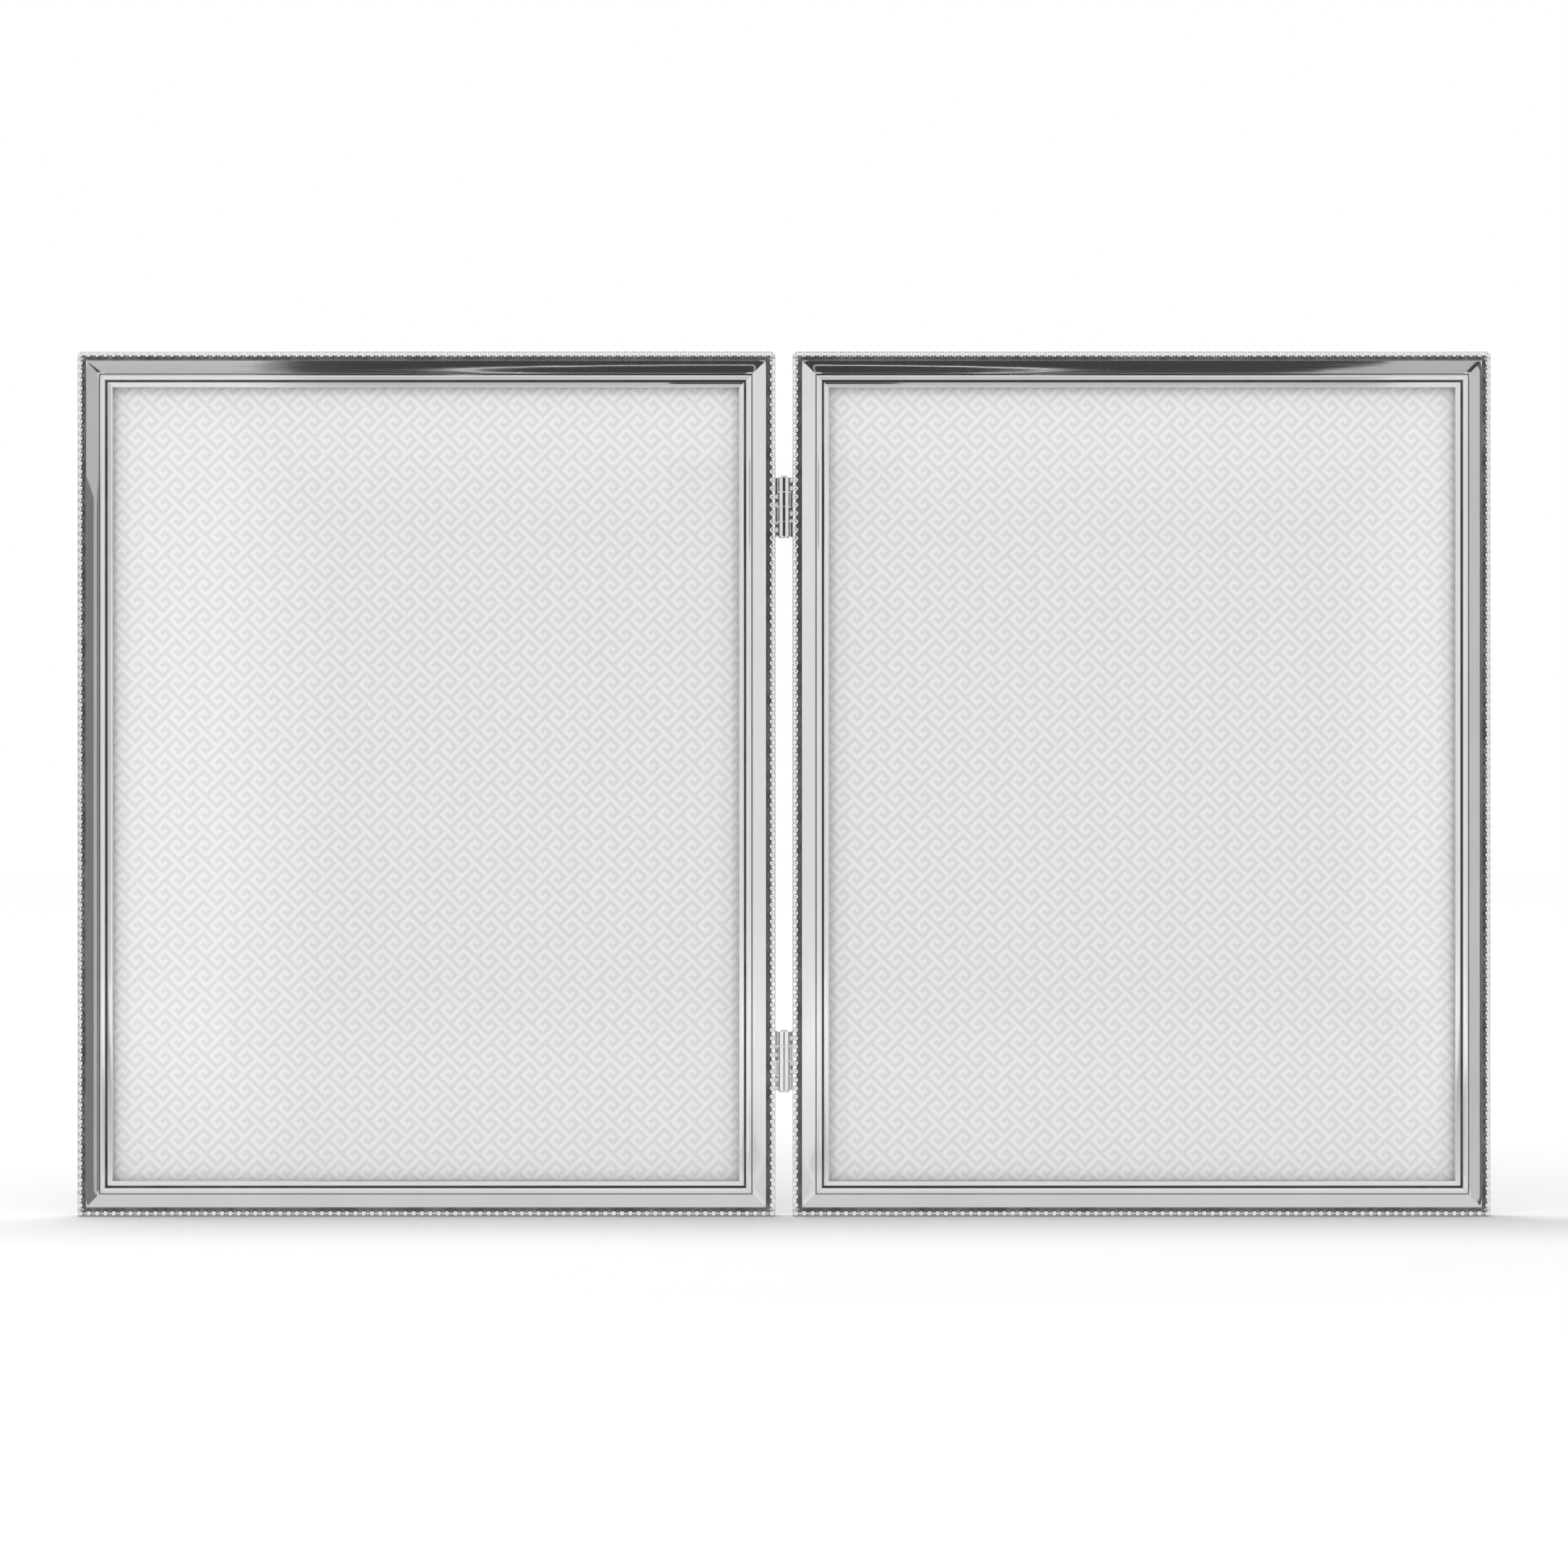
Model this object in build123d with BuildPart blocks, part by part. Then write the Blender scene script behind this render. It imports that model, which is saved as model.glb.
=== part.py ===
"""Hinged double photo frame: two glazed metal leaves with beaded borders, joined by two butt hinges.

Millimetres, +Z up. The frame stands open flat and faces -Y. The origin is under the hinge axis,
at the middle of the frame's depth, on the surface that the frame stands on.
"""

import os

from build123d import *

# Print and what is stacked behind the lip
photo_width = 203.2
photo_height = 254.0
photo_play = 0.4
glass_thickness = 2.0
insert_thickness = 0.3
board_thickness = 3.6
velvet_thickness = 0.7

# Rail section: widths run from the outer edge to the window, depths from the front to the rear
rim_width = 4.4
sight_overlap = 6.35
wall = 0.9
bead_diameter = 2.1
bead_inset = 0.05
seat_play = 0.1
seat_depth = 4.2
seat_rise = 0.5
band_width = 4.25
band_outer_depth = 2.9
band_inner_depth = 0.5
band_crown = 0.2
quirk_width = 0.3
quirk_depth = 0.75
reed_width = 1.3
reed_height = 0.6
groove_width = 0.8
groove_depth = 1.5
lip_front_depth = 1.2
lip_edge_depth = 1.6
lip_back_depth = 3.4

# Beaded border: heights above the ledge that the strip sits on
bead_height = 1.6
bead_waist = 0.6
bead_foot = 0.4
bead_spacing = 2.53
corner_bead_cut = 0.8

# Hinges
leaf_gap = 5.2
hinge_length = 18.0
hinge_inset = 47.6
knuckle_radius = 1.9
knuckle_count = 4
knuckle_gap = 0.3
axis_clearance = 0.3
pin_radius = 1.0
pin_play = 0.05
pin_proud = 0.5
plate_thickness = 0.6
plate_front_depth = 2.4
plate_back_depth = 9.2

# Turn buttons and the headed studs that they turn on
button_reach = 10.5
button_width = 4.2
button_nose_width = 2.4
button_nose_length = 1.4
button_thickness = 0.8
button_gap = 0.3
stud_radius = 0.8
stud_play = 0.05
stud_head_radius = 1.75
stud_head_height = 0.7

# Sizes that follow from the ones above
rebate = rim_width + photo_play
moulding_width = rebate + sight_overlap
leaf_width = photo_width + 2 * rebate
leaf_height = photo_height + 2 * rebate
stack = glass_thickness + insert_thickness + board_thickness + velvet_thickness
rail_depth = lip_back_depth + stack
stud_proud = 2 * button_gap + button_thickness + stud_head_height
half_gap = leaf_gap / 2
face_y = (axis_clearance + knuckle_radius - rail_depth - stud_proud) / 2
axis_y = face_y - axis_clearance

# Where each member of the rail section starts, from the outer edge inwards
bead_middle = bead_inset + bead_diameter / 2
seat_end = bead_inset + bead_diameter + seat_play
band_start = seat_end + seat_rise
quirk_start = band_start + band_width
reed_start = quirk_start + quirk_width
groove_start = reed_start + reed_width
lip_start = groove_start + groove_width

os.makedirs("parts", exist_ok=True)


def save(piece, name):
    piece.label = name
    export_step(piece, f"parts/{name}.step")


def rail_frames(leaf_left):
    """The four rails of a leaf: where each starts, which way is inwards and along, and its length."""
    leaf_right = leaf_left + leaf_width
    return {
        "bottom": (Plane((leaf_right, face_y, 0), x_dir=(0, 0, 1), z_dir=(-1, 0, 0)), leaf_width),
        "top": (Plane((leaf_left, face_y, leaf_height), x_dir=(0, 0, -1), z_dir=(1, 0, 0)), leaf_width),
        "west": (Plane((leaf_left, face_y, 0), x_dir=(1, 0, 0), z_dir=(0, 0, 1)), leaf_height),
        "east": (Plane((leaf_right, face_y, leaf_height), x_dir=(-1, 0, 0), z_dir=(0, 0, -1)), leaf_height),
    }


def make_rail(section, length):
    """A hollow moulding length with mitred ends, rounded about the corner beads."""
    corner_radius = bead_middle
    bevel = corner_radius * (1 - 2**-0.5)
    with BuildPart() as rail:
        with BuildSketch(section):
            with BuildLine():
                Polyline(
                    (quirk_start, band_inner_depth),
                    (quirk_start + quirk_width / 2, quirk_depth),
                    (reed_start, reed_height),
                )
                SagittaArc((reed_start, reed_height), (groove_start, reed_height), -reed_height)
                Polyline(
                    (groove_start, reed_height),
                    (groove_start, groove_depth),
                    (lip_start, groove_depth),
                    (lip_start, lip_front_depth),
                    (moulding_width, lip_edge_depth),
                    (moulding_width, lip_back_depth),
                    (rim_width, lip_back_depth),
                    (rim_width, rail_depth),
                    (0, rail_depth),
                    (0, seat_depth),
                    (seat_end, seat_depth),
                    (band_start, band_outer_depth),
                )
                SagittaArc(
                    (band_start, band_outer_depth), (quirk_start, band_inner_depth), -band_crown
                )
            make_face()
            with BuildLine():
                Polyline(
                    (wall, seat_depth + wall),
                    (seat_end, seat_depth + wall),
                    (rim_width - wall, lip_back_depth + wall),
                    (rim_width - wall, rail_depth - wall),
                    (wall, rail_depth - wall),
                    close=True,
                )
            make_face(mode=Mode.SUBTRACT)
        extrude(amount=length)
        with BuildSketch(Plane(section.origin, x_dir=section.z_dir, z_dir=section.y_dir)):
            with BuildLine():
                CenterArc((corner_radius, corner_radius), corner_radius, 225, 45)
                Line((corner_radius, 0), (length - corner_radius, 0))
                CenterArc((length - corner_radius, corner_radius), corner_radius, 270, 45)
                Polyline(
                    (length - bevel, bevel),
                    (length - moulding_width, moulding_width),
                    (moulding_width, moulding_width),
                    (bevel, bevel),
                )
            make_face()
        extrude(amount=rail_depth, mode=Mode.INTERSECT)
    return rail.part


def make_beads(section, length, has_corners):
    """A ridged strip, notched into beads. A strip with corners carries the leaf's corner beads as well."""
    spaces = round((length - 2 * bead_middle) / bead_spacing)
    pitch = (length - 2 * bead_middle) / spaces
    start = bead_inset if has_corners else bead_middle + pitch / 2
    notches = [(bead_middle - pitch / 2, -seat_depth), (bead_middle - pitch / 2, bead_waist - seat_depth)]
    for bead in range(spaces + 1):
        centre = bead_middle + bead * pitch
        notches += [(centre, bead_height - seat_depth), (centre + pitch / 2, bead_waist - seat_depth)]
    notches.append((length - bead_middle + pitch / 2, -seat_depth))
    with BuildPart() as strip:
        with BuildSketch(section.offset(start)):
            with BuildLine():
                Polyline(
                    (bead_inset, seat_depth),
                    (bead_inset + bead_diameter, seat_depth),
                    (bead_inset + bead_diameter, seat_depth - bead_foot),
                    (bead_middle, seat_depth - bead_height),
                    (bead_inset, seat_depth - bead_foot),
                    close=True,
                )
            make_face()
        extrude(amount=length - 2 * start)
        with BuildSketch(Plane(section.origin, x_dir=section.z_dir, z_dir=section.x_dir)):
            with BuildLine():
                Polyline(*notches, close=True)
            make_face()
        extrude(amount=seat_end, mode=Mode.INTERSECT)
        if has_corners:
            with BuildSketch(Plane(section.origin, x_dir=section.z_dir, z_dir=section.y_dir)) as outline:
                with Locations((length / 2, bead_middle)):
                    Rectangle(length - 2 * bead_inset, bead_diameter)
                chamfer(outline.vertices(), corner_bead_cut)
            extrude(amount=seat_depth, mode=Mode.INTERSECT)
    return strip.part


def make_sheet(leaf_left, front_depth, thickness):
    """A rectangular sheet of the photo's size, lying in the leaf's rebate."""
    centre = (leaf_left + leaf_width / 2, face_y + front_depth, leaf_height / 2)
    with BuildPart() as sheet:
        with BuildSketch(Plane(centre, x_dir=(1, 0, 0), z_dir=(0, 1, 0))):
            Rectangle(photo_width, photo_height)
        extrude(amount=thickness)
    return sheet.part


def pivot_plane(section, length, depth):
    """The plane of a turn button at the middle of a rail: x inwards, normal to the rear."""
    middle = section.origin + section.z_dir * length / 2 + section.x_dir * rim_width / 2
    return Plane(middle + section.y_dir * depth, x_dir=section.x_dir, z_dir=section.y_dir)


def make_button(section, length):
    """A turn button, round at its stud, whose nose reaches over the back board."""
    with BuildPart() as button:
        with BuildSketch(pivot_plane(section, length, rail_depth + button_gap)):
            Circle(button_width / 2)
            with BuildLine():
                Polyline(
                    (0, -button_width / 2),
                    (button_reach - button_nose_length, -button_width / 2),
                    (button_reach, -button_nose_width / 2),
                    (button_reach, button_nose_width / 2),
                    (button_reach - button_nose_length, button_width / 2),
                    (0, button_width / 2),
                    close=True,
                )
            make_face()
            Circle(stud_radius + stud_play, mode=Mode.SUBTRACT)
        extrude(amount=button_thickness)
    return button.part


def make_studs(rails):
    """The four headed studs of a leaf, soldered to the rear rim, one in each turn button."""
    neck = stud_proud - stud_head_height
    with BuildPart() as studs:
        for radius, base, height in (
            (stud_radius, 0, neck),
            (stud_head_radius, neck, stud_head_height),
        ):
            planes = [pivot_plane(section, length, rail_depth + base) for section, length in rails.values()]
            with BuildSketch(*planes):
                Circle(radius)
            extrude(amount=height)
    return studs.part


def make_plate(bottom, side, first_knuckle):
    """A hinge plate on one leaf's side wall, with every second knuckle of the barrel."""
    pitch = hinge_length / knuckle_count
    inner = side * (half_gap - plate_thickness)
    outer = side * half_gap
    front = face_y + plate_front_depth
    back = face_y + plate_back_depth
    with BuildPart() as plate:
        with BuildSketch(Plane.XY.offset(bottom)):
            with BuildLine():
                Polyline((inner, front), (outer, front), (outer, back), (inner, back), close=True)
            make_face()
        extrude(amount=hinge_length)
        for knuckle in range(first_knuckle, knuckle_count, 2):
            with BuildSketch(Plane.XY.offset(bottom + knuckle * pitch + knuckle_gap / 2)):
                with BuildLine():
                    Polyline(
                        (outer, front),
                        (inner, front),
                        (side * (pin_radius + pin_play), axis_y),
                        (side * knuckle_radius, axis_y),
                        close=True,
                    )
                make_face()
                with Locations((0, axis_y)):
                    Circle(knuckle_radius)
                    Circle(pin_radius + pin_play, mode=Mode.SUBTRACT)
            extrude(amount=pitch - knuckle_gap)
    return plate.part


def make_pin(bottom):
    """A hinge pin that stands proud of the barrel at both ends."""
    with BuildPart() as pin:
        with BuildSketch(Plane((0, axis_y, bottom - pin_proud))):
            Circle(pin_radius)
        extrude(amount=hinge_length + 2 * pin_proud)
    return pin.part


# Leaves: the hinge side is the east side of the left leaf and the west side of the right one
leaf_sides = {
    "left": (-half_gap - leaf_width, {"top": "top", "bottom": "bottom", "west": "outer", "east": "hinge"}),
    "right": (half_gap, {"top": "top", "bottom": "bottom", "west": "hinge", "east": "outer"}),
}
for leaf, (leaf_left, side_names) in leaf_sides.items():
    rails = rail_frames(leaf_left)
    for side, (section, length) in rails.items():
        side_name = side_names[side]
        save(make_rail(section, length), f"{leaf}_{side_name}_rail")
        save(make_beads(section, length, side in ("top", "bottom")), f"{leaf}_{side_name}_beads")
        save(make_button(section, length), f"{leaf}_{side_name}_button")
    save(make_studs(rails), f"{leaf}_button_studs")
    depth = lip_back_depth
    for sheet_name, thickness in (
        ("glass", glass_thickness),
        ("insert", insert_thickness),
        ("back_board", board_thickness),
        ("velvet", velvet_thickness),
    ):
        save(make_sheet(leaf_left, depth, thickness), f"{leaf}_{sheet_name}")
        depth += thickness

# Hinges
hinge_bottoms = {
    "lower": hinge_inset - hinge_length / 2,
    "upper": leaf_height - hinge_inset - hinge_length / 2,
}
for hinge, bottom in hinge_bottoms.items():
    save(make_plate(bottom, -1, 0), f"{hinge}_hinge_left_plate")
    save(make_plate(bottom, 1, 1), f"{hinge}_hinge_right_plate")
    save(make_pin(bottom), f"{hinge}_hinge_pin")
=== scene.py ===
import math
import bmesh
import bpy
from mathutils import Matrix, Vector


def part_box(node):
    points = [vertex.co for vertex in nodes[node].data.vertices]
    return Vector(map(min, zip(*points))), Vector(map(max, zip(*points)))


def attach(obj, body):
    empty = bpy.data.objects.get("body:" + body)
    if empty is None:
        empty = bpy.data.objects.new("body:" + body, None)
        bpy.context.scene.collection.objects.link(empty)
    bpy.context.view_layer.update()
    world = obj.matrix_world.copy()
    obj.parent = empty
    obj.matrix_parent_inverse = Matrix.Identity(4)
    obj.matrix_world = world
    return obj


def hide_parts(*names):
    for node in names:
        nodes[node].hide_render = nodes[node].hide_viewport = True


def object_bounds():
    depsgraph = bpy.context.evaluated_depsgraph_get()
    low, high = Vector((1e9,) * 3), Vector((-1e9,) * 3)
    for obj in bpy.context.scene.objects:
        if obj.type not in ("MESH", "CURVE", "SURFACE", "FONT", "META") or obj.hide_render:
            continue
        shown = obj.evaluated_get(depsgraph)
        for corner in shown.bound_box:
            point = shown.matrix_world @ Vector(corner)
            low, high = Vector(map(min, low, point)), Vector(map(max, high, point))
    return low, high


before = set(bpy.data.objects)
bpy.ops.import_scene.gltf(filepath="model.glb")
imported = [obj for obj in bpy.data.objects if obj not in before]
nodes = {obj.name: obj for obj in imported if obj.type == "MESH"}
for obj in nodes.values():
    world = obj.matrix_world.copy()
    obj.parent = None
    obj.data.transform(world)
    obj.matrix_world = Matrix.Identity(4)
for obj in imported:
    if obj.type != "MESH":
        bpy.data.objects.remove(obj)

mm = 0.001
cadLow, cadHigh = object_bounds()
mostly = 0.5                     # a normal with more than this along an axis faces that way
print("frame loaded:", len(nodes), "nodes")


# Small helpers for working as by hand

def clearSelection():
    if bpy.context.object and bpy.context.object.mode != "OBJECT":
        bpy.ops.object.mode_set(mode="OBJECT")
    bpy.ops.object.select_all(action="DESELECT")


def pickOnly(obj):
    clearSelection()
    obj.select_set(True)
    bpy.context.view_layer.objects.active = obj


def startEdit(obj):
    pickOnly(obj)
    bpy.ops.object.mode_set(mode="EDIT")
    bpy.ops.mesh.select_mode(type="VERT")
    bpy.ops.mesh.select_all(action="SELECT")


def endEdit():
    bpy.ops.object.mode_set(mode="OBJECT")


def selectFaces(obj, wanted):
    bpy.ops.mesh.select_mode(type="FACE")
    bpy.ops.mesh.select_all(action="DESELECT")
    shape = bmesh.from_edit_mesh(obj.data)
    for face in shape.faces:
        face.select_set(wanted(face.calc_center_median(), face.normal))
    bmesh.update_edit_mesh(obj.data)


def selectEdges(obj, wanted):
    bpy.ops.mesh.select_mode(type="EDGE")
    bpy.ops.mesh.select_all(action="DESELECT")
    shape = bmesh.from_edit_mesh(obj.data)
    for edge in shape.edges:
        edge.select_set(wanted(edge.verts[0].co, edge.verts[1].co))
    bmesh.update_edit_mesh(obj.data)


def cutAway(place, facing):
    # slices the whole mesh and drops what lies in front of the plane
    bpy.ops.mesh.select_all(action="SELECT")
    bpy.ops.mesh.bisect(plane_co=place, plane_no=facing, use_fill=True, clear_outer=True)


def applyModifier(obj, kind, **settings):
    pickOnly(obj)
    modifier = obj.modifiers.new(kind.title(), kind)
    for setting, value in settings.items():
        setattr(modifier, setting, value)
    bpy.ops.object.modifier_apply(modifier=modifier.name)


def smoothByAngle(obj, angle):
    pickOnly(obj)
    bpy.ops.object.shade_smooth_by_angle(angle=math.radians(angle))


def copyPiece(source, name, turn, place):
    # a copy with its own mesh, turned about Y, moved, and left at the origin
    pickOnly(source)
    bpy.ops.object.duplicate()
    piece = bpy.context.object
    piece.name = piece.data.name = name
    piece.rotation_euler = (0, turn, 0)
    piece.location = place
    bpy.ops.object.transform_apply(location=True, rotation=True, scale=True)
    return piece


def dropPiece(obj):
    pickOnly(obj)
    bpy.ops.object.delete()


def addBox(low, high):
    # a cube stretched between two corners
    clearSelection()
    bpy.ops.mesh.primitive_cube_add(size=1, location=(low + high) / 2)
    box = bpy.context.object
    box.scale = high - low
    bpy.ops.object.transform_apply(location=True, rotation=True, scale=True)
    return box


def extrudeSection(name, points, push):
    # a closed section drawn point by point, then pushed out to a length
    clearSelection()
    bpy.ops.mesh.primitive_plane_add(size=mm, location=(0, 0, 0))
    piece = bpy.context.object
    piece.name = piece.data.name = name
    startEdit(piece)
    bpy.ops.mesh.merge(type="CENTER")
    bpy.ops.transform.translate(value=points[0])
    for here, there in zip(points, points[1:]):
        bpy.ops.mesh.extrude_vertices_move(TRANSFORM_OT_translate={"value": there - here})
    bpy.ops.mesh.select_all(action="SELECT")
    bpy.ops.mesh.edge_face_add()
    bpy.ops.mesh.extrude_region_move(TRANSFORM_OT_translate={"value": push})
    bpy.ops.mesh.select_all(action="SELECT")
    bpy.ops.mesh.normals_make_consistent(inside=False)
    endEdit()
    return piece


# Materials

def newMaterial(name):
    material = bpy.data.materials.new(name)
    material.use_nodes = True
    return material, material.node_tree, material.node_tree.nodes["Principled BSDF"]


def addNode(tree, kind, inputs=None, **settings):
    node = tree.nodes.new(kind)
    for setting, value in settings.items():
        setattr(node, setting, value)
    for socket, value in (inputs or {}).items():
        if isinstance(value, bpy.types.NodeSocket):
            tree.links.new(value, node.inputs[socket])
        else:
            node.inputs[socket].default_value = value
    return node


def objectPlace(tree):
    return addNode(tree, "ShaderNodeTexCoord").outputs["Object"]


def noise(tree, place, size, detail=2.0, roughness=0.5):
    # size is the width of one blotch in metres
    return addNode(tree, "ShaderNodeTexNoise",
                   {"Vector": place, "Scale": 1 / size, "Detail": detail,
                    "Roughness": roughness}).outputs["Fac"]


def mapTo(tree, value, low, high, fromLow=0.3, fromHigh=0.7):
    return addNode(tree, "ShaderNodeMapRange",
                   {"Value": value, "From Min": fromLow, "From Max": fromHigh,
                    "To Min": low, "To Max": high}).outputs["Result"]


def mixColours(tree, amount, one, two):
    mix = addNode(tree, "ShaderNodeMix", data_type="RGBA")
    tree.links.new(amount, mix.inputs["Factor"])
    mix.inputs["A"].default_value = one
    mix.inputs["B"].default_value = two
    return mix.outputs["Result"]


def grey(level, blue=0.0):
    return (level, level, level + blue, 1)


silverFinish = {
    "light": grey(0.73, 0.004), "dull": grey(0.67, 0.003),           # polish and faint cloudiness
    "beadLight": grey(0.9, 0.004), "beadDull": grey(0.85, 0.003),    # beads rub bright in the hand
    "cloud": 30 * mm, "cloudFrom": 0.7, "cloudTo": 1.3,
    "drawLine": 0.35 * mm, "stretch": 90,                            # lines left by drawing the strip
    "roughLow": 0.045, "roughHigh": 0.11,
    "waveLength": 16 * mm, "waveHeight": 0.04 * mm,                  # thin plated metal is slightly uneven
}


def silverMaterial(name, drawn, light, dull):
    # drawn is the scale that stretches the fine lines along a piece
    material, tree, shader = newMaterial(name)
    place = objectPlace(tree)
    along = addNode(tree, "ShaderNodeMapping", {"Vector": place, "Scale": drawn}).outputs["Vector"]
    cloud = noise(tree, place, silverFinish["cloud"], 3)
    lines = noise(tree, along, silverFinish["drawLine"], 3)
    wave = noise(tree, place, silverFinish["waveLength"], 0)
    tone = addNode(tree, "ShaderNodeMath", {0: cloud, 1: lines}, operation="ADD").outputs[0]
    cloudy = mapTo(tree, tone, 0, 1, silverFinish["cloudFrom"], silverFinish["cloudTo"])
    colour = mixColours(tree, cloudy, light, dull)
    bump = addNode(tree, "ShaderNodeBump", {"Height": wave, "Strength": 1.0,
                                            "Distance": silverFinish["waveHeight"]})
    tree.links.new(colour, shader.inputs["Base Color"])
    tree.links.new(mapTo(tree, lines, silverFinish["roughLow"], silverFinish["roughHigh"]),
                   shader.inputs["Roughness"])
    tree.links.new(bump.outputs["Normal"], shader.inputs["Normal"])
    shader.inputs["Metallic"].default_value = 1.0
    return material


# darker silver tones that paint the shade in the rail's hollows
paintedShadeTones = {
    "light": grey(0.3), "dark": grey(0.14),                  # painted shade between the beads and in the quirk
    "grooveLight": grey(0.13), "grooveDark": grey(0.06),     # painted shade in the groove beside the lip
    "troughLight": grey(0.28), "troughDark": grey(0.18),     # painted shade in the trough beside the beads
    "patch": 5 * mm, "roughness": 0.3, "troughRoughness": 0.5, "smoother": 0.08, "rougher": 0.1,
}


def paintedShadeMaterial(name, light, dark, roughness):
    # silver darkened in random patches, as painted shade for the hollows
    material, tree, shader = newMaterial(name)
    patch = noise(tree, objectPlace(tree), paintedShadeTones["patch"], 3)
    tree.links.new(mixColours(tree, mapTo(tree, patch, 0, 1), light, dark), shader.inputs["Base Color"])
    roughLow, roughHigh = roughness - paintedShadeTones["smoother"], roughness + paintedShadeTones["rougher"]
    tree.links.new(mapTo(tree, patch, roughLow, roughHigh), shader.inputs["Roughness"])
    shader.inputs["Metallic"].default_value = 1.0
    return material


steelFinish = {"light": grey(0.62), "dark": grey(0.5), "grain": 0.12 * mm, "stretch": 40,
               "roughLow": 0.2, "roughHigh": 0.36, "scratchDepth": 0.01 * mm, "scratched": 0.5}


def steelMaterial():
    # rolled steel strip with its grain along X
    material, tree, shader = newMaterial("rolledSteel")
    mapping = addNode(tree, "ShaderNodeMapping",
                      {"Vector": objectPlace(tree), "Scale": (1 / steelFinish["stretch"], 1, 1)})
    grain = noise(tree, mapping.outputs["Vector"], steelFinish["grain"], 2)
    bump = addNode(tree, "ShaderNodeBump", {"Height": grain, "Strength": steelFinish["scratched"],
                                            "Distance": steelFinish["scratchDepth"]})
    tree.links.new(mixColours(tree, grain, steelFinish["dark"], steelFinish["light"]),
                   shader.inputs["Base Color"])
    tree.links.new(mapTo(tree, grain, steelFinish["roughLow"], steelFinish["roughHigh"]),
                   shader.inputs["Roughness"])
    tree.links.new(bump.outputs["Normal"], shader.inputs["Normal"])
    shader.inputs["Metallic"].default_value = 1.0
    return material


glassFinish = {"straightOn": 0.043, "steepness": 5.0, "polish": 0.0}


def glassMaterial():
    # clear picture glass: mostly see-through, with the mirror share rising to the edges of the view
    material, tree, shader = newMaterial("pictureGlass")
    facing = addNode(tree, "ShaderNodeLayerWeight", {"Blend": 0.5}).outputs["Facing"]
    rise = addNode(tree, "ShaderNodeMath", {0: facing, 1: glassFinish["steepness"]},
                   operation="POWER").outputs[0]
    share = mapTo(tree, rise, glassFinish["straightOn"], 1.0, 0.0, 1.0)
    clear = addNode(tree, "ShaderNodeBsdfTransparent")
    mirror = addNode(tree, "ShaderNodeBsdfGlossy", {"Roughness": glassFinish["polish"]})
    pane = addNode(tree, "ShaderNodeMixShader", {0: share, 1: clear.outputs[0], 2: mirror.outputs[0]})
    tree.nodes.remove(shader)
    tree.links.new(pane.outputs[0], tree.nodes["Material Output"].inputs["Surface"])
    return material


insertPrint = {
    "stroke": 1.1705 * mm,             # width of one stroke of the key fret
    "repeatStrokes": (5, 6),           # the fret repeats after this many strokes along each slant
    "strokes": (                       # middle and half size of each light stroke, on the slanted grid
        (7, 4.5, 0.5, 1.0), (6, 4, 1.5, 0.5), (5, 5.5, 0.5, 2.0), (9, 7, 4.5, 0.5),
        (11.5, 5, 1.0, 0.5), (11, 4, 0.5, 1.5), (12.5, 3, 2.0, 0.5), (14, 7, 0.5, 4.5),
    ),
    "soft": 0.3,                       # how far a stroke's edge fades, in strokes
    "light": grey(0.93, -0.002), "dark": grey(0.8, -0.002),
    "fibre": 0.5 * mm, "fibreHeight": 0.02 * mm, "fibreShows": 0.15,
    "roughLow": 0.49, "roughHigh": 0.61, "gloss": 0.25,
}


def strokeGroup():
    # distance from one slanted stroke, repeated over the sheet
    step = insertPrint["stroke"] * math.sqrt(2)
    half = [strokes * step / 2 for strokes in insertPrint["repeatStrokes"]]
    group = bpy.data.node_groups.new("fretStroke", "ShaderNodeTree")
    for name in ("Place", "Middle", "HalfSize"):
        group.interface.new_socket(name, in_out="INPUT", socket_type="NodeSocketVector")
    group.interface.new_socket("Distance", in_out="OUTPUT", socket_type="NodeSocketFloat")
    given = addNode(group, "NodeGroupInput").outputs
    fromMiddle = addNode(group, "ShaderNodeVectorMath", {0: given["Place"], 1: given["Middle"]},
                         operation="SUBTRACT").outputs[0]
    wrapped = addNode(group, "ShaderNodeVectorMath",
                      {0: fromMiddle, 1: (half[0], half[1], 1), 2: (-half[0], -half[1], -1)},
                      operation="WRAP").outputs[0]
    slanted = addNode(group, "ShaderNodeVectorRotate",
                      {"Vector": wrapped, "Angle": math.radians(45)}, rotation_type="Z_AXIS").outputs[0]
    away = addNode(group, "ShaderNodeVectorMath", {0: slanted}, operation="ABSOLUTE").outputs[0]
    outside = addNode(group, "ShaderNodeVectorMath", {0: away, 1: given["HalfSize"]},
                      operation="SUBTRACT").outputs[0]
    split = addNode(group, "ShaderNodeSeparateXYZ", {0: outside}).outputs
    furthest = addNode(group, "ShaderNodeMath", {0: split["X"], 1: split["Y"]},
                       operation="MAXIMUM").outputs[0]
    addNode(group, "NodeGroupOutput", {"Distance": furthest})
    return group


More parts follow.
